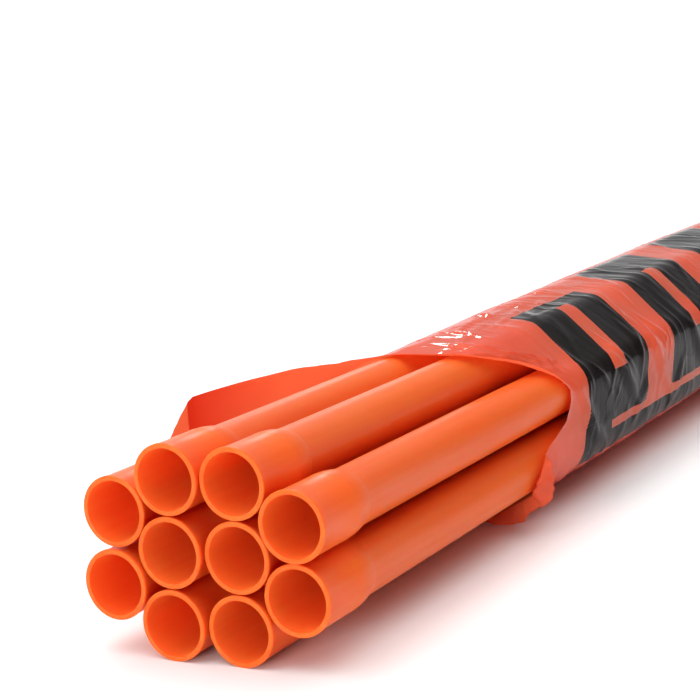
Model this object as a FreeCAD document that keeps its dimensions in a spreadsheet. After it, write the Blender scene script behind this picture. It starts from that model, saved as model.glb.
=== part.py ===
"""Trade pack of ten rigid PVC electrical conduits, 25 mm size, in a printed film sleeve.

Frame, in millimetres: +X runs along the conduits from their belled ends into the sleeve, +Y is
to the left as seen looking along +X, +Z is up.  The origin is on the ground under the middle of
the bundle, halfway along the conduits.  The bundle lies on the lowest two bells and on the
sleeve's flat underside.
"""
import FreeCAD, Part
import math
import os
import Sketcher

V = FreeCAD.Vector

# ---------------------------------------------------------------- driving dimensions
DIMENSIONS = [
    ("conduit_length", 4000.0, "one conduit, mouth of the bell to plain end"),
    ("pipe_radius", 12.5, "outside of the 25 mm pipe"),
    ("bore_radius", 10.5, "wireway inside the pipe, 2 mm wall"),
    ("socket_radius", 12.55, "bell socket, sliding on a 25 mm spigot"),
    ("socket_depth", 30.0, "full-size length of the socket"),
    ("socket_stop", 12.0, "tapered stop between socket and wireway"),
    ("bell_radius", 14.25, "outside of the bell"),
    ("bell_straight", 29.0, "mouth to the start of the bell's shoulder"),
    ("shoulder_run", 12.0, "length of the rounded shoulder"),
    ("lip_radius", 14.6, "thickened rim at the mouth"),
    ("lip_length", 1.4, "straight part of the rim"),
    ("lip_step", 0.8, "slope from the rim to the bell"),
    ("mouth_chamfer", 0.3, "lead-in inside the mouth"),
    ("tube_pitch", 29.5, "spacing of neighbouring conduits"),
    ("film_thickness", 0.5, "solid standing for 0.1 mm film"),
    ("top_offset", 43.6, "bundle axis to the film's inside, top and bottom"),
    ("slant_offset", 47.0, "bundle axis to the film's inside, slanted sides"),
    ("side_offset", 54.4, "bundle axis to the film's inside, left and right"),
    ("film_end", 4004.0, "bundle mouth plane to the sleeve's end wall"),
    ("seal_length", 20.0, "heat-sealed fin behind the end wall"),
    ("seal_half_width", 58.0, "half the width of that fin"),
    ("seal_thickness", 0.6, "two films welded together"),
    ("start_top", 203.0, "mouth plane to the cut edge, top of the sleeve"),
    ("start_left", 190.0, "the same on the two upper left sides"),
    ("start_lower_left", 205.0, "the same on the lower left side"),
    ("start_bottom", 218.0, "the same underneath"),
    ("start_lower_right", 225.0, "the same on the lower right side"),
    ("start_right", 222.0, "the same at the foot of the right side"),
    ("start_right_top", 250.0, "the same at the right side's upper corner"),
    ("flap_reach", 104.0, "left flap, measured along the film"),
    ("flap_angle", 10.0, "degrees that the flap stands away from the bundle"),
    ("flap_foot", 6.0, "clearance of the flap above the ground"),
    ("flap_height", 64.0, "height of the flap"),
    ("flap_gap", 0.3, "break between the flap and the side that it continues"),
]
# How far each mouth stands back from the bundle's mean mouth plane, as packed by hand.
MOUTH_OFFSETS = [-0.9, -0.5, 1.3, 1.4, -1.0, 1.5, -3.4, -1.8, 1.0, 2.5]
# Column and level of each conduit in tube pitches: columns of two, three, three and two.
INNER_COLUMN = "0.5"
OUTER_COLUMN = "(0.5 + sqrt(3) / 2)"
PATTERN = [
    (1, OUTER_COLUMN, 0.5), (1, INNER_COLUMN, 1.0),
    (-1, INNER_COLUMN, 1.0), (-1, OUTER_COLUMN, 0.5),
    (1, INNER_COLUMN, 0.0), (-1, INNER_COLUMN, 0.0),
    (1, OUTER_COLUMN, -0.5), (1, INNER_COLUMN, -1.0),
    (-1, INNER_COLUMN, -1.0), (-1, OUTER_COLUMN, -0.5),
]
SLANT = 30.0  # degrees between the flat top and a slanted side of the bundle
SINE = f"sin({SLANT} deg)"
COSINE = f"cos({SLANT} deg)"
KNIFE_SIZE = 200.0  # edge of the cube that trims a side's open end
UNTURNED = FreeCAD.Rotation()


def make_sheet(doc):
    """The spreadsheet of driving dimensions, and the same numbers by name."""
    sheet = doc.addObject("Spreadsheet::Sheet", "Sizes")
    rows = DIMENSIONS + [
        (f"mouth_offset_{number:02d}", offset, "packing stagger")
        for number, offset in enumerate(MOUTH_OFFSETS, 1)
    ]
    for line, (alias, value, note) in enumerate(rows, 1):
        sheet.set(f"A{line}", alias)
        sheet.set(f"B{line}", str(value))
        sheet.set(f"C{line}", note)
        sheet.setAlias(f"B{line}", alias)
    doc.recompute()
    return {alias: value for alias, value, _ in rows}


def cell(alias):
    return f"Sizes.{alias}"


def origin_plane(body, role):
    return next(f for f in body.Origin.OriginFeatures if f.Role == role)


def pin_coordinate(sketch, kind, geometry, end, value, expression):
    """Dimensions one coordinate of a sketch point from the sketch's origin; signs go into the order."""
    origin = (-1, 1)
    point = (geometry, end)
    first, second = (origin, point) if value > 0 else (point, origin)
    index = sketch.addConstraint(Sketcher.Constraint(kind, *first, *second, abs(value)))
    sketch.setExpression(f"Constraints[{index}]", expression if value > 0 else f"-({expression})")


# ---------------------------------------------------------------- conduits
def conduit_outline(size):
    """Half section of a conduit: each point is (names summed along X, names summed outward)."""
    names = [
        ((), ("lip_radius",)),
        (("lip_length",), ("lip_radius",)),
        (("lip_length", "lip_step"), ("bell_radius",)),
        (("bell_straight",), ("bell_radius",)),
        (("bell_straight", "shoulder_run"), ("pipe_radius",)),
        (("conduit_length",), ("pipe_radius",)),
        (("conduit_length",), ("bore_radius",)),
        (("socket_depth", "socket_stop"), ("bore_radius",)),
        (("socket_depth",), ("socket_radius",)),
        (("mouth_chamfer",), ("socket_radius",)),
        ((), ("socket_radius", "mouth_chamfer")),
    ]
    points = [V(sum(size[a] for a in along), sum(size[a] for a in out), 0) for along, out in names]
    return names, points


def shoulder_arc(size, start, end):
    """Arc that leaves the bell level and drops to the pipe; it runs from end to start."""
    drop = start.y - end.y
    radius = (size["shoulder_run"] ** 2 + drop ** 2) / (2 * drop)
    centre = V(start.x, start.y - radius, 0)
    sweep = math.asin(size["shoulder_run"] / radius)
    circle = Part.Circle(centre, V(0, 0, 1), radius)
    return Part.ArcOfCircle(circle, math.pi / 2 - sweep, math.pi / 2)


def make_conduit(doc, size, number):
    """One conduit: a half section revolved about X, with its bell at the low end of X."""
    label = f"conduit_{number:02d}"
    body = doc.addObject("PartDesign::Body", label)
    sketch = body.newObject("Sketcher::SketchObject", f"section_{number:02d}")
    sketch.AttachmentSupport = (origin_plane(body, "XY_Plane"), [""])
    sketch.MapMode = "FlatFace"
    names, points = conduit_outline(size)
    shoulder = 3  # the outline's fourth edge is the bell's rounded shoulder
    for edge, start in enumerate(points):
        end = points[(edge + 1) % len(points)]
        arc = edge == shoulder
        sketch.addGeometry(shoulder_arc(size, start, end) if arc else Part.LineSegment(start, end))
    for edge, (along, out) in enumerate(names):
        end = 2 if edge == shoulder else 1
        before = (edge - 1) % len(names)
        before_end = 1 if before == shoulder else 2
        meeting = "Tangent" if edge == shoulder else "Coincident"
        sketch.addConstraint(Sketcher.Constraint(meeting, before, before_end, edge, end))
        if along:
            total = sum(size[a] for a in along)
            pin_coordinate(sketch, "DistanceX", edge, end, total, " + ".join(map(cell, along)))
        else:
            sketch.addConstraint(Sketcher.Constraint("PointOnObject", edge, end, -2))
        total = sum(size[a] for a in out)
        pin_coordinate(sketch, "DistanceY", edge, end, total, " + ".join(map(cell, out)))
    turned = body.newObject("PartDesign::Revolution", f"turned_{number:02d}")
    turned.Profile = sketch
    turned.ReferenceAxis = (sketch, ["H_Axis"])
    turned.Angle = 360
    body.Tip = turned
    side, column, level = PATTERN[number - 1]
    offset = cell(f"mouth_offset_{number:02d}")
    pitch = cell("tube_pitch")
    body.setExpression(".Placement.Base.x", f"{offset} - {cell('conduit_length')} / 2")
    body.setExpression(".Placement.Base.y", f"{side} * {pitch} * {column}")
    axis_height = f"{pitch} + {cell('lip_radius')}"
    body.setExpression(".Placement.Base.z", f"{axis_height} + {pitch} * {level}")
    return body


# ---------------------------------------------------------------- film sleeve
def wall_sides():
    """The sleeve's eight sides as (name, turn about X in degrees, lean, offset, width, cut edge).

    Turn 0 is the flat top; a positive turn carries it towards -Y, the right.  Lean is the way in
    which the middle of a slanted side lies from the foot of its offset.  The widths are those at
    which the inside faces of neighbouring sides meet edge to edge."""
    top, slant, side = cell("top_offset"), cell("slant_offset"), cell("side_offset")
    top_half = f"({slant} - {top} * {COSINE}) / {SINE}"
    side_half = f"({slant} - {side} * {SINE}) / {COSINE}"
    slanted = f"({top} - {side_half}) / {SINE}"
    flat, upright = f"2 * {top_half}", f"2 * {side_half}"
    return [
        ("top", 0, 0, "top_offset", flat, "start_top"),
        ("upper_right", SLANT, -1, "slant_offset", slanted, "start_top"),
        ("right", 90, 0, "side_offset", upright, "start_right"),
        ("lower_right", 180 - SLANT, 1, "slant_offset", slanted, "start_lower_right"),
        ("bottom", 180, 0, "top_offset", flat, "start_bottom"),
        ("lower_left", 180 + SLANT, -1, "slant_offset", slanted, "start_lower_left"),
        ("left", 270, 0, "side_offset", upright, "start_left"),
        ("upper_left", 360 - SLANT, 1, "slant_offset", slanted, "start_left"),
    ]


def corners(size):
    """Where the inside faces meet: half width of the flat top, half height of a side."""
    sine, cosine = math.sin(math.radians(SLANT)), math.cos(math.radians(SLANT))
    top_half = (size["slant_offset"] - size["top_offset"] * cosine) / sine
    side_half = (size["slant_offset"] - size["side_offset"] * sine) / cosine
    return top_half, side_half


def slant_middle(size):
    """Distance along a slanted side from the foot of its offset to its middle."""
    top_half, side_half = corners(size)
    middle = V(0, (top_half + size["side_offset"]) / 2, (side_half + size["top_offset"]) / 2)
    along = V(0, math.cos(math.radians(SLANT)), -math.sin(math.radians(SLANT)))
    return middle.dot(along)


def bundle_frame(size):
    """Placement of the bundle's axis at the mean mouth plane."""
    height = size["tube_pitch"] + size["lip_radius"]
    return FreeCAD.Placement(V(-size["conduit_length"] / 2, 0, height), UNTURNED)


def make_strip(doc, size, name, turn, lean, offset, width, start):
    """One flat side of the sleeve, as a long plate whose inner face touches the offset."""
    strip = doc.addObject("Part::Box", f"film_{name}")
    strip.setExpression("Length", f"{cell('film_end')} - {cell(start)}")
    strip.setExpression("Width", width)
    strip.setExpression("Height", cell("film_thickness"))
    doc.recompute()
    across = lean * slant_middle(size) - strip.Width.Value / 2
    turned = FreeCAD.Placement(V(size[start], 0, 0), FreeCAD.Rotation(V(1, 0, 0), turn))
    shift = FreeCAD.Placement(V(0, across, size[offset]), UNTURNED)
    strip.Placement = bundle_frame(size) * turned * shift
    return strip


def cut_mouth(doc, size, strip, name, low, high):
    """Cuts a strip's open end on the line from low to high, both in the bundle's frame."""
    knife = doc.addObject("Part::Box", f"knife_{name}")
    knife.Length = knife.Width = knife.Height = KNIFE_SIZE
    run = high - low
    run.normalize()
    upright = abs(run.z) > abs(run.y)
    across = V(0, -1, 0) if upright else V(0, 0, 1)
    away = run.cross(across)
    if away.x > 0:
        away = away * -1
    axes = FreeCAD.Rotation(run, away.cross(run), away, "XZY")
    middle = (low + high) * 0.5
    shift = FreeCAD.Placement(V(-KNIFE_SIZE / 2, -KNIFE_SIZE / 2, 0), UNTURNED)
    knife.Placement = bundle_frame(size) * FreeCAD.Placement(middle, axes) * shift
    trimmed = doc.addObject("Part::Cut", f"trimmed_{name}")
    trimmed.Base = strip
    trimmed.Tool = knife
    return trimmed


def make_end_wall(doc, size):
    """Flat wall that closes the sleeve behind the plain ends, drawn as the section's octagon."""
    top, slant, side = cell("top_offset"), cell("slant_offset"), cell("side_offset")
    top_half, side_half = corners(size)
    flat = f"({slant} - {top} * {COSINE}) / {SINE}"
    upright = f"({slant} - {side} * {SINE}) / {COSINE}"
    quarter = [
        ((top_half, flat), (size["top_offset"], top)),
        ((size["side_offset"], side), (side_half, upright)),
    ]
    mirrored = [
        (1, 1, 0), (1, 1, 1), (1, -1, 1), (1, -1, 0),
        (-1, -1, 0), (-1, -1, 1), (-1, 1, 1), (-1, 1, 0),
    ]
    points = []
    for sign_y, sign_z, which in mirrored:
        (y, y_name), (z, z_name) = quarter[which]
        points.append((sign_y * y, f"{sign_y} * {y_name}", sign_z * z, f"{sign_z} * {z_name}"))
    sketch = doc.addObject("Sketcher::SketchObject", "end_wall_outline")
    for edge, (y, _, z, _) in enumerate(points):
        next_y, _, next_z, _ = points[(edge + 1) % len(points)]
        sketch.addGeometry(Part.LineSegment(V(y, z, 0), V(next_y, next_z, 0)))
    for edge, (y, y_name, z, z_name) in enumerate(points):
        sketch.addConstraint(Sketcher.Constraint("Coincident", (edge - 1) % len(points), 2, edge, 1))
        pin_coordinate(sketch, "DistanceX", edge, 1, y, y_name)
        pin_coordinate(sketch, "DistanceY", edge, 1, z, z_name)
    upright_plane = FreeCAD.Rotation(V(0, 1, 0), V(0, 0, 1), V(1, 0, 0), "ZXY")
    sketch.Placement = bundle_frame(size) * FreeCAD.Placement(V(size["film_end"], 0, 0), upright_plane)
    wall = doc.addObject("Part::Extrusion", "film_end_wall")
    wall.Base = sketch
    wall.DirMode = "Normal"
    wall.Solid = True
    wall.setExpression("LengthFwd", cell("film_thickness"))
    return wall


def make_seal(doc, size):
    """Heat-sealed fin standing out of the end wall at mid height."""
    fin = doc.addObject("Part::Box", "film_seal")
    fin.setExpression("Length", cell("seal_length"))
    fin.setExpression("Width", f"2 * {cell('seal_half_width')}")
    fin.setExpression("Height", cell("seal_thickness"))
    back = size["film_end"] + size["film_thickness"]
    corner = V(back, -size["seal_half_width"], -size["seal_thickness"] / 2)
    fin.Placement = bundle_frame(size) * FreeCAD.Placement(corner, UNTURNED)
    return fin


def make_flap(doc, size):
    """Torn flap that continues the left side forward of the mouth, standing away from it."""
    flap = doc.addObject("Part::Box", "film_flap")
    flap.setExpression("Length", cell("flap_reach"))
    flap.setExpression("Width", cell("film_thickness"))
    flap.setExpression("Height", cell("flap_height"))
    hinge = V(size["start_left"] - size["flap_gap"], size["side_offset"], 0)
    height = size["tube_pitch"] + size["lip_radius"]
    turn = FreeCAD.Rotation(V(0, 0, 1), -size["flap_angle"])
    shift = FreeCAD.Placement(V(-size["flap_reach"], 0, size["flap_foot"] - height), UNTURNED)
    flap.Placement = bundle_frame(size) * FreeCAD.Placement(hinge, turn) * shift
    return flap


def make_sleeve(doc, size):
    """The sleeve: eight flat sides, the end wall, its seal and the flap, in one piece."""
    top_half, side_half = corners(size)
    upper_corner = V(size["start_right_top"], -size["side_offset"], side_half)
    cuts = {
        "upper_right": (V(size["start_top"], -top_half, side_half), upper_corner),
        "right": (V(size["start_right"], -size["side_offset"], -side_half), upper_corner),
    }
    members = []
    for name, *side in wall_sides():
        strip = make_strip(doc, size, name, *side)
        if name in cuts:
            strip = cut_mouth(doc, size, strip, name, *cuts[name])
        members.append(strip)
    members += [make_end_wall(doc, size), make_seal(doc, size), make_flap(doc, size)]
    sleeve = doc.addObject("Part::Compound", "film_sleeve")
    sleeve.Links = members
    return sleeve


# ---------------------------------------------------------------- checks and export
def check(doc, parts):
    failed = [o.Label for o in doc.Objects if {"Invalid", "Error"} & set(o.State)]
    if failed:
        raise RuntimeError(f"these objects did not rebuild: {failed}")
    for part in parts:
        if part.Shape.isNull() or not part.Shape.isValid():
            raise RuntimeError(f"{part.Label} has no valid shape")
        shape = part.Shape
        volume = shape.Volume / 1000
        print(f"{part.Label:12s} {len(shape.Solids):2d} solids {volume:9.2f} cm3 {shape.BoundBox}")


def check_conduit_volume(size, conduit):
    """Compares the turned solid with ring areas times lengths; the shoulder counts at its mean."""
    def ring(outer, inner):
        return math.pi * (outer ** 2 - inner ** 2)

    shoulder_end = size["bell_straight"] + size["shoulder_run"]
    bell = size["bell_straight"] * ring(size["bell_radius"], size["socket_radius"])
    mean = (size["bell_radius"] + size["pipe_radius"]) / 2
    shoulder = size["shoulder_run"] * ring(mean, (size["socket_radius"] + size["bore_radius"]) / 2)
    pipe = (size["conduit_length"] - shoulder_end) * ring(size["pipe_radius"], size["bore_radius"])
    expected = bell + shoulder + pipe
    tolerance = 0.01
    if abs(conduit.Shape.Volume - expected) > tolerance * expected:
        raise RuntimeError(f"{conduit.Label} is {conduit.Shape.Volume:.0f} mm3, not {expected:.0f}")


def main():
    doc = FreeCAD.newDocument("conduit_pack")
    size = make_sheet(doc)
    conduits = [make_conduit(doc, size, number) for number in range(1, len(PATTERN) + 1)]
    sleeve = make_sleeve(doc, size)
    doc.recompute()
    parts = conduits + [sleeve]
    check(doc, parts)
    check_conduit_volume(size, conduits[0])
    os.makedirs("parts", exist_ok=True)
    for part in parts:
        part.Shape.exportStep(f"parts/{part.Label}.step")


main()
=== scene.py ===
"""Looks of a trade pack: ten belled rigid conduits in a printed film sleeve, torn open at one end.

Lengths are millimetres in the bundle's own frame (x behind the mean mouth plane, y to the left,
z up from the bundle's axis) until a mesh is made; to_row() turns them into metres in the row frame.
"""

import math

import bpy
import numpy as np
from mathutils import Euler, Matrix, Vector


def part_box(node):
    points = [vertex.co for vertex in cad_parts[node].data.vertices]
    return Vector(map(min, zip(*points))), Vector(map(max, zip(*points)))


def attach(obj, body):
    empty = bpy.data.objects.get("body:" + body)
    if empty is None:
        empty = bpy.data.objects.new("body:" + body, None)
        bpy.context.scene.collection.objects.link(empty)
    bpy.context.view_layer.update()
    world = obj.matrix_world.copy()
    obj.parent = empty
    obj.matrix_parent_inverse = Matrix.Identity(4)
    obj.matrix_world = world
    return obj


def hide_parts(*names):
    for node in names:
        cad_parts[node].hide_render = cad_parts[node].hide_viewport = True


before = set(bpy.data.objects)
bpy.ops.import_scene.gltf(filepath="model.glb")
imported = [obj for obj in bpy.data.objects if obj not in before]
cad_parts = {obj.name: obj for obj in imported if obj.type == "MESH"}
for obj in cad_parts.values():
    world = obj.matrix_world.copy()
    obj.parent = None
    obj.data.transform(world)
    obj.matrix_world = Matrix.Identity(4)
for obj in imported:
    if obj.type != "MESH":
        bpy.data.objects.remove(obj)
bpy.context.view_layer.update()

MM = 0.001
SEED = 25

# ---------------------------------------------------------------- measures taken from the frame
CONDUITS = sorted(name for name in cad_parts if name.startswith("conduit_"))
SLEEVE = "film_sleeve"
BOXES = {name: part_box(name) for name in CONDUITS}
CONDUIT_LENGTH = max(high.x - low.x for low, high in BOXES.values()) / MM
MOUTH_PLANE = -CONDUIT_LENGTH * MM / 2
AXIS_HEIGHT = sum((low.z + high.z) / 2 for low, high in BOXES.values()) / len(BOXES)
FLOOR = -AXIS_HEIGHT / MM

# ---------------------------------------------------------------- conduit sizes
PIPE_RADIUS = 12.5
BORE_RADIUS = 10.5
SOCKET_RADIUS = 12.55
SOCKET_DEPTH = 30.0
SOCKET_STOP = 12.0
BELL_RADIUS = 14.25
BELL_STRAIGHT = 29.0
SHOULDER_RUN = 12.0
RING_HEIGHT = 0.10
LIP_RADIUS = 14.6
LIP_LENGTH = 1.4
LIP_STEP = 0.8
EDGE_ROUND = 0.35
AROUND_PIPE = 96
PIPE_SPANS = 40

# ---------------------------------------------------------------- film sleeve sizes
PERIMETER = 336.0
FILM_END = 4004.0
SEAL_START = 4016.0
SEAL_END = 4028.0
SEAL_HALF_WIDTH = 60.0
FILM_COLUMNS = 208
FILM_GAP = 0.55
FLOOR_GAP = 0.1
FLAP_CREASE = 105.0
# The sleeve's section is a polygon with rounded corners.  Each corner: place around the film from
# the bottom's middle, width of its rounding, and its (x, y, z) where it changes along the pack.
CORNERS = [
    (18.5, 20.0, [(200, -18.5, -43.9)]),
    (60.0, 20.0, [(200, -54.6, -23.0)]),
    (103.5, 17.0, [(240, -54.9, 19.8), (320, -55.3, 20.4)]),
    (146.0, 8.0, [(200, -20.5, 42.8), (300, -21.2, 44.6), (450, -22.5, 46.0)]),
    (187.0, 26.0, [(109, 74.5, 67.0), (150, 46.0, 57.5), (166, 39.0, 53.0), (188, 22.5, 42.7),
                   (200, 19.5, 42.7), (300, 20.0, 45.6), (600, 21.0, 50.0)]),
    (229.0, 16.0, [(78, 67.0, 26.0), (109, 75.0, 26.5), (190, 56.5, 24.5), (260, 55.0, 24.0)]),
    (276.0, 20.0, [(78, 64.0, -21.0), (125, 70.5, -21.5), (190, 56.0, -23.0), (260, 54.6, -23.0)]),
    (317.5, 20.0, [(78, 60.0, -41.0), (109, 60.0, -42.0), (150, 42.0, -43.9), (205, 18.5, -43.9)]),
]
# The cut edge: place around the film, distance behind the mouth plane.
CUT_EDGE = [
    (0, 217), (10, 217), (19, 215), (28, 211), (36, 217), (44, 213), (52, 213), (58, 210), (64, 212),
    (72, 212), (77.5, 212), (80, 219), (83.5, 231), (87, 241), (92, 245.5), (97, 249), (102, 248),
    (107, 243), (112, 239), (117, 236), (122, 232), (127, 227), (132, 220), (137, 211), (141, 204),
    (146, 197), (154, 193), (165, 193), (178, 192), (188, 187), (199, 181), (204, 171), (209, 154),
    (216, 122), (218.5, 108), (222, 103), (226, 98), (231.5, 91), (240, 82), (250, 78), (300, 78),
    (310, 95), (318, 125), (326, 160), (336, 217),
]
# How the edge curls out: place around the film, angle in degrees, length of bend, length in all.
CURL = [
    (0, 0, 6, 10), (22, 0, 6, 10), (28, 25, 10, 14), (34, 45, 10, 16), (41, 60, 9, 15),
    (47, 62, 6, 10), (52, 82, 5, 8.5), (56, 122, 4, 10), (60, 145, 4, 14), (65, 155, 3.5, 12),
    (70, 150, 3, 7), (74, 100, 3, 5), (77, 30, 4, 5), (80, 6, 8, 9), (98, 6, 8, 9),
    (108, 40, 10, 10), (118, 52, 10, 10), (135, 46, 9, 9), (146, 32, 8, 8), (186, 18, 8, 8),
    (203, 8, 8, 8), (212, 0, 8, 8), (336, 0, 6, 10),
]
# Long folds down the side: place along, place around, lean in degrees, run, half width, height.
FOLDS = [
    (272, 84, -52, 30, 7, 2.0), (292, 66, -60, 16, 4, 1.2), (330, 92, -50, 26, 8, 1.6),
    (352, 78, 35, 24, 6, 1.3), (385, 88, -58, 28, 9, 1.8), (410, 74, 40, 22, 6, 1.2),
    (455, 86, -48, 30, 9, 1.6), (500, 80, 42, 28, 8, 1.5), (545, 88, -55, 30, 9, 1.7),
]
# Small folds at random: how many, range along, range around, lean, spread of the lean, and the
# ranges of run, half width and height.
WRINKLES = [
    (130, (215, 800), (108, 182), 1.35, 0.30, (12, 30), (1.8, 4.6), (0.20, 0.65)),
    (110, (230, 800), (60, 112), 1.2, 0.5, (10, 26), (1.5, 4.0), (0.20, 0.60)),
    (90, (205, 800), (215, 395), 1.2, 0.6, (18, 50), (3.0, 9.0), (0.25, 0.7)),
    (420, (780, 4000), (0, 336), 1.2, 0.4, (14, 60), (4.0, 12.0), (0.4, 1.1)),
    (26, (225, 360), (148, 192), 0.15, 0.12, (25, 55), (2.0, 4.0), (0.15, 0.35)),
]
# The same for the crumpled stretch of the edge, with the range along counted from the edge.
CRUMPLE = (44, (9, 30), (114, 160), 0.6, 0.9, (3, 8), (1.0, 2.2), (0.4, 1.1))
REST_LIFT = 0.7
WAVE_LENGTH = 170
WAVE_LOBES = 6
WAVE_HEIGHT = 0.45
FLAP_OPENING = 0.28
SEAL_WAVE_HEIGHT = 5.5
SEAL_WAVE_RUN = 5.0
SEAL_GAP = 0.12
PLEAT_DEPTH = 0.012


def to_row(x, y, z):
    """Bundle millimetres to row metres, as an (n, 3) array."""
    along, left, up = np.ravel(x) * MM, np.ravel(y) * MM, np.ravel(z) * MM
    return np.stack([along + MOUTH_PLANE, left, up + AXIS_HEIGHT], 1)


def make_mesh(name, points, faces):
    mesh = bpy.data.meshes.new(name)
    mesh.from_pydata([], [], [])
    mesh.vertices.add(len(points))
    mesh.vertices.foreach_set("co", np.asarray(points, np.float32).ravel())
    faces = np.asarray(faces, np.int32)
    mesh.loops.add(faces.size)
    mesh.loops.foreach_set("vertex_index", faces.ravel())
    mesh.polygons.add(len(faces))
    mesh.polygons.foreach_set("loop_start", np.arange(0, faces.size, 4, dtype=np.int32))
    mesh.update(calc_edges=True)
    mesh.validate()
    piece = bpy.data.objects.new(name, mesh)
    bpy.context.scene.collection.objects.link(piece)
    return piece


def grid_faces(rows, columns, close_rows=False):
    """Quads of a grid whose columns wrap round; its rows may wrap too."""
    last = rows if close_rows else rows - 1
    r, c = np.meshgrid(np.arange(last), np.arange(columns), indexing="ij")
    r_next, c_next = (r + 1) % rows, (c + 1) % columns
    corners = [r * columns + c, r_next * columns + c, r_next * columns + c_next, r * columns + c_next]
    return np.stack([corner.ravel() for corner in corners], 1)


# ---------------------------------------------------------------- materials
def new_material(name):
    material = bpy.data.materials.new(name)
    material.use_nodes = True
    tree = material.node_tree
    tree.nodes.clear()
    return material, tree


def node(tree, kind, inputs=(), **settings):
    made = tree.nodes.new(kind)
    for key, value in settings.items():
        setattr(made, key, value)
    for key, value in dict(inputs).items():
        if isinstance(value, bpy.types.NodeSocket):
            tree.links.new(value, made.inputs[key])
        else:
            made.inputs[key].default_value = value
    return made


def maths(tree, operation, *values):
    return node(tree, "ShaderNodeMath", dict(enumerate(values)), operation=operation).outputs[0]


def vector_maths(tree, operation, *values):
    return node(tree, "ShaderNodeVectorMath", dict(enumerate(values)), operation=operation).outputs


def mix_colour(tree, factor, first, second):
    made = node(tree, "ShaderNodeMix", data_type="RGBA")
    for socket, value in ((made.inputs[0], factor), (made.inputs[6], first), (made.inputs[7], second)):
        if isinstance(value, bpy.types.NodeSocket):
            tree.links.new(value, socket)
        else:
            socket.default_value = value
    return made.outputs[2]


def noise(tree, vector, scale, detail=3.0, roughness=0.5):
    inputs = {"Vector": vector, "Scale": scale, "Detail": detail, "Roughness": roughness}
    return node(tree, "ShaderNodeTexNoise", inputs).outputs["Fac"]


def spread(tree, value, low, high, out_low=0.0, out_high=1.0):
    inputs = {0: value, 1: low, 2: high, 3: out_low, 4: out_high}
    return node(tree, "ShaderNodeMapRange", inputs).outputs[0]


PVC_DEEP = (0.86, 0.115, 0.017, 1)
PVC_PALE = (0.90, 0.150, 0.025, 1)
PVC_LINE = (0.82, 0.092, 0.013, 1)


def conduit_material():
    """Extruded rigid PVC: orange all through, satin, with faint lines from the die along it."""
    material, tree = new_material("conduit_pvc")
    place = node(tree, "ShaderNodeTexCoord").outputs["Object"]
    lines = node(tree, "ShaderNodeMapping", {"Vector": place, "Scale": (1.2, 260.0, 260.0)}).outputs[0]
    clouds = node(tree, "ShaderNodeMapping", {"Vector": place, "Scale": (5.0, 34.0, 34.0)}).outputs[0]
    die_lines = noise(tree, lines, 1.0, 4.0, 0.6)
    cloud = noise(tree, clouds, 1.0, 3.0)
    grain = noise(tree, place, 2600.0, 2.0)
    colour = mix_colour(tree, spread(tree, cloud, 0.3, 0.7), PVC_DEEP, PVC_PALE)
    colour = mix_colour(tree, spread(tree, die_lines, 0.35, 0.65, 0.0, 0.3), colour, PVC_LINE)
    roughness = spread(tree, die_lines, 0.3, 0.7, 0.30, 0.42)
    bump = node(tree, "ShaderNodeBump", {"Strength": 0.14, "Distance": 0.0004, "Height": die_lines})
    fine = node(tree, "ShaderNodeBump", {"Strength": 0.05, "Distance": 0.0002, "Height": grain,
                                         "Normal": bump.outputs[0]})
    shader = node(tree, "ShaderNodeBsdfPrincipled", {
        "Base Color": colour, "Roughness": roughness, "Normal": fine.outputs[0], "IOR": 1.20,
        "Specular IOR Level": 0.5,
        "Subsurface Weight": 0.7, "Subsurface Radius": (1.0, 0.22, 0.08), "Subsurface Scale": 0.005,
    })
    node(tree, "ShaderNodeOutputMaterial", {"Surface": shader.outputs[0]})
    return material


# Printed shapes, in metres: plain slanted bars above a ruled border.
PRINT_START = 0.262
PRINT_STOP = 3.960
PANEL_LOW = 0.057
RULE_LOW = 0.0700
RULE_HIGH = 0.0745
RULE_START = 0.303
PANEL_HIGH = 0.181
FIRST_SHORTER = 0.020
BAR_PERIOD = 0.134
BAR_WIDTH = 0.090
BAR_LEAN = 0.26
SLOT_START = 0.038
SLOT_WIDTH = 0.017
SLOT_LOW = 0.100
SLOT_HIGH = 0.150


def print_mask(tree, along, around):
    """1 where the film carries black ink, for one panel of the print."""
    def above(value, limit):
        return maths(tree, "GREATER_THAN", value, limit)

    def below(value, limit):
        return maths(tree, "LESS_THAN", value, limit)

    def both(*values):
        product = values[0]
        for value in values[1:]:
            product = maths(tree, "MULTIPLY", product, value)
        return product

    lean = maths(tree, "MULTIPLY", maths(tree, "SUBTRACT", around, PANEL_LOW), BAR_LEAN)
    run = maths(tree, "SUBTRACT", maths(tree, "SUBTRACT", along, PRINT_START), lean)
    phase = maths(tree, "FLOORED_MODULO", run, BAR_PERIOD)
    printed = both(above(run, 0.0), below(along, PRINT_STOP))
    slot = both(above(phase, SLOT_START), below(phase, SLOT_START + SLOT_WIDTH))
    slot = both(slot, above(around, SLOT_LOW), below(around, SLOT_HIGH))
    top = maths(tree, "MULTIPLY_ADD", below(run, BAR_PERIOD), -FIRST_SHORTER, PANEL_HIGH)
    bar = both(below(phase, BAR_WIDTH), above(around, RULE_HIGH), below(around, top))
    bar = maths(tree, "SUBTRACT", bar, maths(tree, "MINIMUM", slot, bar))
    border = both(above(around, PANEL_LOW), below(around, RULE_LOW))
    foot = both(above(around, PANEL_LOW), below(around, PANEL_HIGH), below(along, RULE_START))
    foot = both(foot, below(around, RULE_HIGH))
    shapes = maths(tree, "MAXIMUM", maths(tree, "MAXIMUM", bar, border), foot)
    return both(printed, shapes)


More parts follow.
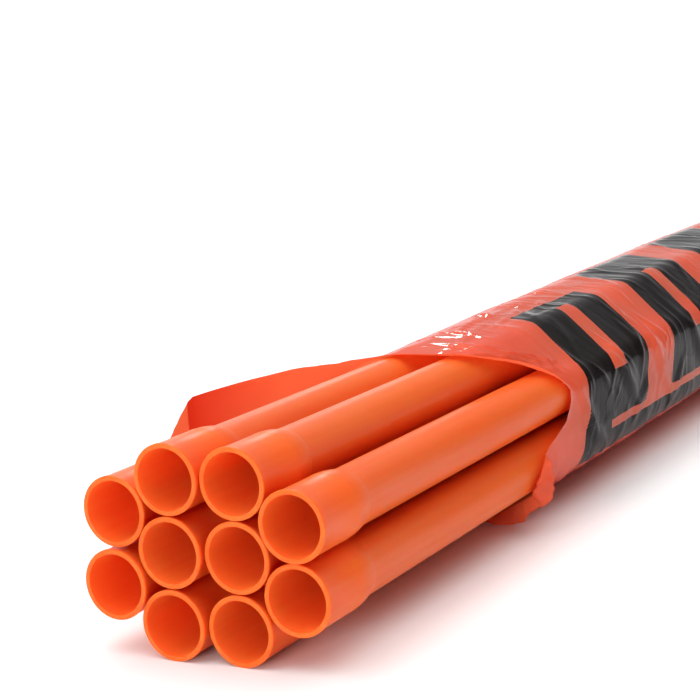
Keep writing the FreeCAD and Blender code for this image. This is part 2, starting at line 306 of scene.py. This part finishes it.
FILM_DEEP = (0.79, 0.130, 0.058, 1)
FILM_PALE = (0.85, 0.170, 0.082, 1)
FILM_THROUGH = (1.0, 0.170, 0.060, 1)
# Painted shade: deeper reds for the film, and for the light through it, just behind the flap's crease.
FILM_CREASE_SHADE = (0.66, 0.030, 0.012, 1)
CREASE_SHADE_THROUGH = (0.80, 0.045, 0.016, 1)
INK = (0.011, 0.008, 0.008, 1)
INK_THROUGH = (0.004, 0.004, 0.004, 1)
FACET_STRAY = (0.9, 0.9, 0.0)


def stretched(tree, place, turn, scale_along, scale_around):
    """The film's place, turned and scaled for a texture with its own grain."""
    inputs = {"Vector": place, "Rotation": (0, 0, turn), "Scale": (scale_along, scale_around, 1.0)}
    return node(tree, "ShaderNodeMapping", inputs).outputs[0]


def crinkle_facets(tree, place):
    """Height of flat patches, each tilted its own way, as in crinkled film."""
    cells = stretched(tree, place, 0.45, 75.0, 24.0)
    stray = node(tree, "ShaderNodeTexNoise", {"Vector": cells, "Scale": 0.9, "Detail": 1.0})
    cells = vector_maths(tree, "MULTIPLY_ADD", stray.outputs["Color"], FACET_STRAY, cells)[0]
    inputs = {"Vector": cells, "Scale": 1.0}
    patch = node(tree, "ShaderNodeTexVoronoi", inputs, voronoi_dimensions="2D").outputs
    tilt = vector_maths(tree, "SUBTRACT", patch["Color"], (0.5, 0.5, 0.5))[0]
    reach = vector_maths(tree, "SUBTRACT", cells, patch["Position"])[0]
    return vector_maths(tree, "DOT_PRODUCT", tilt, reach)["Value"]


def crease_shade_mask(tree, along, around):
    """1 just behind the flap's crease, where a deeper red is painted on the film as painted shade of the
    crease.
    """
    past_crease = spread(tree, along, 0.1045, 0.1055)
    near_crease = spread(tree, along, 0.165, 0.110)
    behind_crease = maths(tree, "MULTIPLY", past_crease, near_crease)
    above_flap = spread(tree, around, 0.205, 0.216)
    below_flap = spread(tree, around, 0.262, 0.236)
    by_flap = maths(tree, "MULTIPLY", above_flap, below_flap)
    return maths(tree, "MULTIPLY", behind_crease, by_flap)


def film_material():
    """Thin glossy film: it scatters light through, is creased finely, and carries black ink."""
    material, tree = new_material("sleeve_film")
    place = node(tree, "ShaderNodeUVMap", uv_map="film").outputs[0]
    parts = node(tree, "ShaderNodeSeparateXYZ", {0: place}).outputs
    along, around = parts[0], parts[1]
    half_turn = PERIMETER * MM / 2
    other = maths(tree, "FLOORED_MODULO", maths(tree, "ADD", around, half_turn), PERIMETER * MM)
    ink = maths(tree, "MAXIMUM", print_mask(tree, along, around), print_mask(tree, along, other))
    creases = noise(tree, stretched(tree, place, 0.35, 90.0, 26.0), 1.0, 2.0, 0.5)
    fine = noise(tree, stretched(tree, place, -0.2, 420.0, 120.0), 1.0, 3.0, 0.55)
    height = maths(tree, "ADD", creases, maths(tree, "MULTIPLY", fine, 0.06))
    height = maths(tree, "MULTIPLY_ADD", crinkle_facets(tree, place), 1.3, height)
    bump = node(tree, "ShaderNodeBump", {"Strength": 0.34, "Distance": 0.0010, "Height": height})
    tint = spread(tree, noise(tree, place, 22.0, 3.0), 0.3, 0.7)
    # Painted shade: the film just behind the flap's crease is coloured a deeper red.
    crease_shading = crease_shade_mask(tree, along, around)
    film = mix_colour(tree, crease_shading, mix_colour(tree, tint, FILM_DEEP, FILM_PALE), FILM_CREASE_SHADE)
    colour = mix_colour(tree, ink, film, INK)
    roughness = spread(tree, fine, 0.3, 0.7, 0.06, 0.12)
    shared = {"Roughness": roughness, "Normal": bump.outputs[0]}
    plain = node(tree, "ShaderNodeBsdfPrincipled", {**shared, "Base Color": film, "IOR": 1.27})
    inked = node(tree, "ShaderNodeBsdfPrincipled", {**shared, "Base Color": colour, "IOR": 1.11})
    gloss = node(tree, "ShaderNodeMixShader", {0: ink, 1: plain.outputs[0], 2: inked.outputs[0]})
    # Painted shade: the light through the film is also a deeper red behind the flap's crease.
    lit_through = mix_colour(tree, crease_shading, FILM_THROUGH, CREASE_SHADE_THROUGH)
    lit_through = mix_colour(tree, ink, lit_through, INK_THROUGH)
    through = node(tree, "ShaderNodeBsdfTranslucent", {"Color": lit_through, "Normal": bump.outputs[0]})
    share = spread(tree, ink, 0.0, 1.0, 0.42, 0.03)
    mixed = node(tree, "ShaderNodeMixShader", {0: share, 1: gloss.outputs[0], 2: through.outputs[0]})
    node(tree, "ShaderNodeOutputMaterial", {"Surface": mixed.outputs[0]})
    return material


# ---------------------------------------------------------------- conduits
def conduit_profile():
    """Closed outline (x, radius) of a conduit's wall: outside from the mouth back, inside forward."""
    quarter = np.linspace(0, math.pi / 2, 5)
    rim_x = EDGE_ROUND - EDGE_ROUND * np.cos(quarter)
    rim_r = LIP_RADIUS - EDGE_ROUND + EDGE_ROUND * np.sin(quarter)
    drop = BELL_RADIUS - PIPE_RADIUS
    curve = (SHOULDER_RUN ** 2 + drop ** 2) / (2 * drop)
    shoulder_x = np.linspace(0, SHOULDER_RUN, 13)
    shoulder_r = BELL_RADIUS - curve + np.sqrt(curve ** 2 - shoulder_x ** 2)
    shoulder_end = BELL_STRAIGHT + SHOULDER_RUN
    back = np.linspace(shoulder_end, CONDUIT_LENGTH - EDGE_ROUND, PIPE_SPANS + 1)[1:]
    forward = np.linspace(CONDUIT_LENGTH - EDGE_ROUND, SOCKET_DEPTH + SOCKET_STOP, PIPE_SPANS + 1)
    outside = [*zip(rim_x, rim_r), (LIP_LENGTH, LIP_RADIUS), (LIP_LENGTH + LIP_STEP, BELL_RADIUS)]
    outside += [(BELL_STRAIGHT - 1.1, BELL_RADIUS), (BELL_STRAIGHT - 0.6, BELL_RADIUS + RING_HEIGHT)]
    outside += [*zip(BELL_STRAIGHT + shoulder_x, shoulder_r), *((x, PIPE_RADIUS) for x in back)]
    end = [(CONDUIT_LENGTH, PIPE_RADIUS - EDGE_ROUND), (CONDUIT_LENGTH, BORE_RADIUS + EDGE_ROUND)]
    inside = [*((x, BORE_RADIUS) for x in forward), (SOCKET_DEPTH, SOCKET_RADIUS)]
    inside += [(EDGE_ROUND, SOCKET_RADIUS), (EDGE_ROUND / 4, SOCKET_RADIUS + EDGE_ROUND / 3)]
    inside += [(0, SOCKET_RADIUS + EDGE_ROUND)]
    return np.array(outside + end + inside)


def make_conduit(name, profile, material):
    low, high = BOXES[name]
    turn = np.linspace(0, 2 * math.pi, AROUND_PIPE, endpoint=False)
    x = np.repeat(profile[:, :1], AROUND_PIPE, 1)
    y = profile[:, 1:] * np.cos(turn)
    z = profile[:, 1:] * np.sin(turn)
    points = np.stack([x.ravel(), y.ravel(), z.ravel()], 1) * MM
    points += np.array([low.x, (low.y + high.y) / 2, (low.z + high.z) / 2])
    faces = grid_faces(len(profile), AROUND_PIPE, close_rows=True)[:, ::-1]
    piece = make_mesh(f"pipe_{name[-2:]}", points, faces)
    piece.data.shade_smooth()
    piece.data.set_sharp_from_angle(angle=math.radians(24))
    piece.data.materials.append(material)
    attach(piece, name)
    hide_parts(name)
    return piece


# ---------------------------------------------------------------- film sleeve
def eased(x, path, index, reach=2.5):
    """Value of a path's coordinate at x: straight between its points, kinks eased over reach."""
    keys = [point[0] for point in path]
    values = [point[index] for point in path]
    return sum(np.interp(x + shift, keys, values) for shift in (-reach, 0.0, reach)) / 3


def corner_weights(around):
    """Share of each corner in the section at each place around the film, corners rounded."""
    places = [place for place, _, _ in CORNERS]
    widths = [width for _, width, _ in CORNERS]
    span = [places[-1] - PERIMETER, *places, places[0] + PERIMETER]
    width = np.interp(around, span, [widths[-1], *widths, widths[0]])
    steps = np.linspace(-0.5, 0.5, 15)
    weights = []
    for index in range(len(CORNERS)):
        peaks = np.zeros(len(span))
        peaks[index + 1] = 1
        if index == 0:
            peaks[-1] = 1
        if index == len(CORNERS) - 1:
            peaks[0] = 1
        spots = (around[None] + steps[:, None] * width[None] - span[0]) % PERIMETER + span[0]
        weights.append(np.interp(spots, span, peaks).mean(0))
    return weights


def fold(x, s, centre_x, centre_s, angle, run, half, lift):
    """One sharp-crested fold: a tent across its line that fades out along it."""
    away_s = (s - centre_s + PERIMETER / 2) % PERIMETER - PERIMETER / 2
    along = (x - centre_x) * math.cos(angle) + away_s * math.sin(angle)
    across = -(x - centre_x) * math.sin(angle) + away_s * math.cos(angle)
    bend = across + 0.12 * half * np.sin(along / run * 4 + centre_x)
    fade = np.clip(1 - (along / run) ** 2, 0, 1)
    return lift * fade * np.clip(1 - np.abs(bend) / (half * (0.35 + 0.65 * fade)), 0, 1)


def tents(rng, x, s, count, x_range, s_range, lean, lean_spread, length, width, height):
    """Many folds at random places, leans and sizes within the ranges given."""
    total = np.zeros_like(x)
    for _ in range(count):
        place = rng.uniform(*x_range), rng.uniform(*s_range), rng.normal(lean, lean_spread)
        total += fold(x, s, *place, rng.uniform(*length), rng.uniform(*width), rng.uniform(*height))
    return total


def smooth_noise(rng, x, s, scale_x, lobes, height):
    """Slow waves over the film, periodic around it."""
    total = np.zeros_like(x)
    for lobe in range(1, lobes + 1):
        turn = 2 * math.pi * s / PERIMETER * lobe
        for _ in range(3):
            wave = rng.uniform(0.6, 1.6) * 2 * math.pi / scale_x
            total += np.sin(turn + rng.uniform(0, 7)) * np.sin(x * wave + rng.uniform(0, 7)) / 3
    return height * total / math.sqrt(lobes)


def film_rows(edge):
    """Distance behind the mouth plane for every row and column of the film's grid."""
    near_end, visible_end, near, middle, far = 430.0, 780.0, 172, 118, 140
    t = np.linspace(0, 1, near)[:, None]
    rows = [edge + (near_end - edge) * (0.72 * t + 0.28 * t ** 2)]
    steps = np.linspace(0, 1, middle + 1)[1:]
    rows.append(np.repeat((near_end + (visible_end - near_end) * steps)[:, None], len(edge), 1))
    steps = np.linspace(0, 1, far + 1)[1:]
    rows.append(np.repeat((visible_end + (FILM_END - 30 - visible_end) * steps)[:, None], len(edge), 1))
    tail = np.array([*np.linspace(FILM_END - 27, FILM_END - 2, 8), *np.linspace(FILM_END, SEAL_START, 9),
                     *np.linspace(SEAL_START, SEAL_END, 8)[1:]])
    rows.append(np.repeat(tail[:, None], len(edge), 1))
    return np.concatenate(rows)


def normals_of(points):
    """Outward unit normals of a grid of (row, column, xyz) whose columns wrap round."""
    down = np.gradient(points, axis=0)
    across = np.roll(points, -1, 1) - np.roll(points, 1, 1)
    normal = np.cross(down, across)
    return normal / np.maximum(np.linalg.norm(normal, axis=2, keepdims=True), 1e-9)


def keep_clear(y, z):
    """Pushes the film out of the pipes and off the ground."""
    for low, high in BOXES.values():
        centre_y = (low.y + high.y) / 2 / MM
        centre_z = ((low.z + high.z) / 2 - AXIS_HEIGHT) / MM
        off_y, off_z = y - centre_y, z - centre_z
        distance = np.maximum(np.hypot(off_y, off_z), 1e-6)
        push = np.maximum(1.0, (PIPE_RADIUS + FILM_GAP) / distance)
        y, z = centre_y + off_y * push, centre_z + off_z * push
    return y, np.maximum(z, FLOOR + FLOOR_GAP)


def close_end(x, y, z, s):
    """Draws the film in behind the conduits' ends into a flat, wavy heat seal."""
    turn = 2 * math.pi * s / PERIMETER
    t = np.clip((x - FILM_END) / (SEAL_START - FILM_END), 0, 1)
    drawn, settled = t ** 0.8, 1 - (1 - t) ** 2
    flat_y = -SEAL_HALF_WIDTH * np.arcsin(np.sin(turn)) / (math.pi / 2)
    flat_z = SEAL_WAVE_HEIGHT * np.sin(flat_y / SEAL_WAVE_RUN) + np.sign(z) * SEAL_GAP
    pleats = np.sin(turn * 26) + 0.6 * np.sin(turn * 41 + 1)
    by_end = np.clip((x - FILM_END + 30) / 30, 0, 1) * (1 - t) ** 0.5
    swell = 1 + PLEAT_DEPTH * pleats * by_end
    y, z = y * swell, z * swell
    return y + (flat_y - y) * settled, np.maximum(z + (flat_z - z) * drawn, FLOOR + FLOOR_GAP)


def curl(done, angle, bend):
    """Forward run and height after a length of a curled edge: an arc, then straight on."""
    radius = bend / angle
    turned = angle * np.clip(done / bend, 0, 1)
    straight = np.clip(done - bend, 0, None)
    forward = radius * np.sin(turned) + straight * np.cos(angle)
    return forward, radius * (1 - np.cos(turned)) + straight * np.sin(angle)


def curl_at(around):
    """Angle in radians, length of bend and length in all of the curled edge at each place."""
    places = [row[0] for row in CURL]
    angle, bend, length = (np.interp(around, places, [row[i] for row in CURL]) for i in (1, 2, 3))
    return np.radians(np.maximum(angle, 0.5)), bend, length


def film_lift(rng, x, s, edge):
    """How far waves, folds, crumpling and the opened flap stand off the plain section."""
    inner = np.clip((x - edge - 4) / 22, 0, 1)
    ends = np.clip((FILM_END - 4 - x) / 25, 0, 1)
    lift = REST_LIFT + smooth_noise(rng, x, s, WAVE_LENGTH, WAVE_LOBES, WAVE_HEIGHT)
    for wrinkles in WRINKLES:
        lift += tents(rng, x, s, *wrinkles)
    for place_x, place_s, degrees, run, half, high in FOLDS:
        lift += fold(x, s, place_x, place_s, math.radians(degrees), run, half, high)
    crumple = tents(rng, x - edge, s, *CRUMPLE)
    lift = lift * inner * ends + crumple * np.clip(1 - (x - edge - 26) / 14, 0, 1)
    bent = np.clip(FLAP_CREASE - x, 0, 40) * np.interp(s, [214, 220, 236, 262], [0, 1, 1, 0])
    return lift + FLAP_OPENING * bent


def film_surface():
    """The film's grid: x, y, z and the place around the film, each (rows, columns)."""
    rng = np.random.default_rng(SEED)
    around = np.arange(FILM_COLUMNS) * PERIMETER / FILM_COLUMNS
    angle, bend, length = curl_at(around)
    forward, _ = curl(length, angle, bend)
    edge = np.interp(around, *zip(*CUT_EDGE)) - (length - forward)
    ragged = np.interp(around, [34, 44, 70, 76], [0.25, 1.3, 1.3, 0.25])
    edge = edge + ragged * rng.uniform(-0.9, 0.9, FILM_COLUMNS)
    x = film_rows(edge)
    s = np.repeat(around[None], len(x), 0)
    weights = corner_weights(around)
    y = sum(w * eased(x, path, 1) for w, (_, _, path) in zip(weights, CORNERS))
    z = sum(w * eased(x, path, 2) for w, (_, _, path) in zip(weights, CORNERS))
    y, z = keep_clear(y, z)

    done = np.clip(length - (x - edge), 0, None)
    forward, height = curl(done, angle, bend)
    lift = film_lift(rng, x, s, edge) + height
    flat = normals_of(np.stack([x, y, z], 2)) * np.array([0.0, 1.0, 1.0])
    flat /= np.maximum(np.linalg.norm(flat, axis=2, keepdims=True), 1e-6)
    y = y + flat[..., 1] * lift
    z = z + flat[..., 2] * lift
    x = x + done - forward
    y, z = keep_clear(y, z)
    y, z = close_end(x, y, z, s)
    return x, y, z, s


def make_film(material):
    x, y, z, s = film_surface()
    piece = make_mesh("sleeve", to_row(x, y, z), grid_faces(*x.shape))
    uv = piece.data.uv_layers.new(name="film")
    corner = np.zeros(len(piece.data.loops), np.int32)
    piece.data.loops.foreach_get("vertex_index", corner)
    place = np.stack([x.ravel()[corner], s.ravel()[corner]], 1).reshape(-1, 4, 2)
    wrapped = (place[..., 1].max(1) - place[..., 1].min(1)) > PERIMETER / 2
    place[..., 1] += (wrapped[:, None] & (place[..., 1] < PERIMETER / 2)) * PERIMETER
    uv.data.foreach_set("uv", (place * MM).astype(np.float32).ravel())
    piece.data.shade_smooth()
    piece.data.materials.append(material)
    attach(piece, SLEEVE)
    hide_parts(SLEEVE)
    return piece


# ---------------------------------------------------------------- stage, light and camera
FLOOR_HALF = 60.0
# The surround's grey by height, from 0 straight down to 1 straight up.
SURROUND = [
    (0.0, 1.25), (0.53, 1.25), (0.58, 0.80), (0.66, 0.55), (0.80, 0.62), (0.86, 1.62), (0.95, 1.90),
]
SURROUND_DIMMEST = 0.16
# Area lights: name, place, target, size and power.
LIGHTS = [
    ("key", (-1.8, 0.35, 1.7), (-1.7, 0.0, 0.0), (2.4, 0.3), 6.0),
    ("front", (-7.6, -0.3, 1.05), (-2.0, 0.0, 0.05), (2.6, 1.5), 222.0),
    ("glint", (2.2, 2.2, 2.2), (-1.6, 0.0, 0.05), (0.35, 0.35), 18.0),
]
CAMERA_PLACE = (-2.5512, -0.3772, 0.2394)
CAMERA_DEGREES = (79.974, 3.112, -61.472)
CAMERA_LENS = 91.3


def make_floor():
    half = FLOOR_HALF
    corners = [(-half, -half, 0), (half, -half, 0), (half, half, 0), (-half, half, 0)]
    mesh = bpy.data.meshes.new("floor")
    mesh.from_pydata(corners, [], [(0, 1, 2, 3)])
    floor = bpy.data.objects.new("floor", mesh)
    bpy.context.scene.collection.objects.link(floor)
    material, tree = new_material("pale_floor")
    shader = node(tree, "ShaderNodeBsdfPrincipled", {
        "Base Color": (0.96, 0.96, 0.96, 1), "Roughness": 0.8, "Specular IOR Level": 0.1})
    node(tree, "ShaderNodeOutputMaterial", {"Surface": shader.outputs[0]})
    mesh.materials.append(material)


def make_world():
    """Soft studio surround: bright low down and overhead, dimmer between and on the right."""
    world = bpy.data.worlds.new("studio")
    bpy.context.scene.world = world
    world.use_nodes = True
    tree = world.node_tree
    tree.nodes.clear()
    way = node(tree, "ShaderNodeTexCoord").outputs["Generated"]
    height = node(tree, "ShaderNodeSeparateXYZ", {0: way}).outputs[2]
    ramp = node(tree, "ShaderNodeValToRGB", {0: spread(tree, height, -1.0, 1.0)})
    elements = ramp.color_ramp.elements
    for index, (place, grey) in enumerate(SURROUND):
        element = elements[index] if index < 2 else elements.new(place)
        element.position = place
        element.color = (grey, grey, grey, 1)
    side = node(tree, "ShaderNodeSeparateXYZ", {0: way}).outputs[1]
    lit = maths(tree, "MAXIMUM", spread(tree, side, -0.40, 0.05), spread(tree, height, 0.55, 0.90))
    lit = maths(tree, "MAXIMUM", lit, spread(tree, height, 0.06, 0.0))
    strength = spread(tree, lit, 0.0, 1.0, SURROUND_DIMMEST, 1.0)
    background = node(tree, "ShaderNodeBackground", {"Color": ramp.outputs[0], "Strength": strength})
    node(tree, "ShaderNodeOutputWorld", {"Surface": background.outputs[0]})


def make_light(name, place, target, size, power):
    data = bpy.data.lights.new(name, "AREA")
    data.shape = "RECTANGLE"
    data.size, data.size_y = size
    data.energy = power
    lamp = bpy.data.objects.new(name, data)
    lamp.location = place
    lamp.rotation_mode = "QUATERNION"
    lamp.rotation_quaternion = (Vector(target) - Vector(place)).to_track_quat("-Z", "Y")
    bpy.context.scene.collection.objects.link(lamp)


def make_camera():
    data = bpy.data.cameras.new("camera")
    data.lens = CAMERA_LENS
    data.sensor_width = 36.0
    data.clip_start = 0.01
    data.clip_end = 200.0
    camera = bpy.data.objects.new("camera", data)
    camera.location = CAMERA_PLACE
    camera.rotation_euler = Euler([math.radians(angle) for angle in CAMERA_DEGREES])
    bpy.context.scene.collection.objects.link(camera)
    bpy.context.scene.camera = camera


def main():
    bpy.context.scene.view_settings.view_transform = "Standard"
    make_camera()
    make_world()
    make_floor()
    for light in LIGHTS:
        make_light(*light)
    pvc = conduit_material()
    profile = conduit_profile()
    for name in CONDUITS:
        make_conduit(name, profile, pvc)
    make_film(film_material())


main()
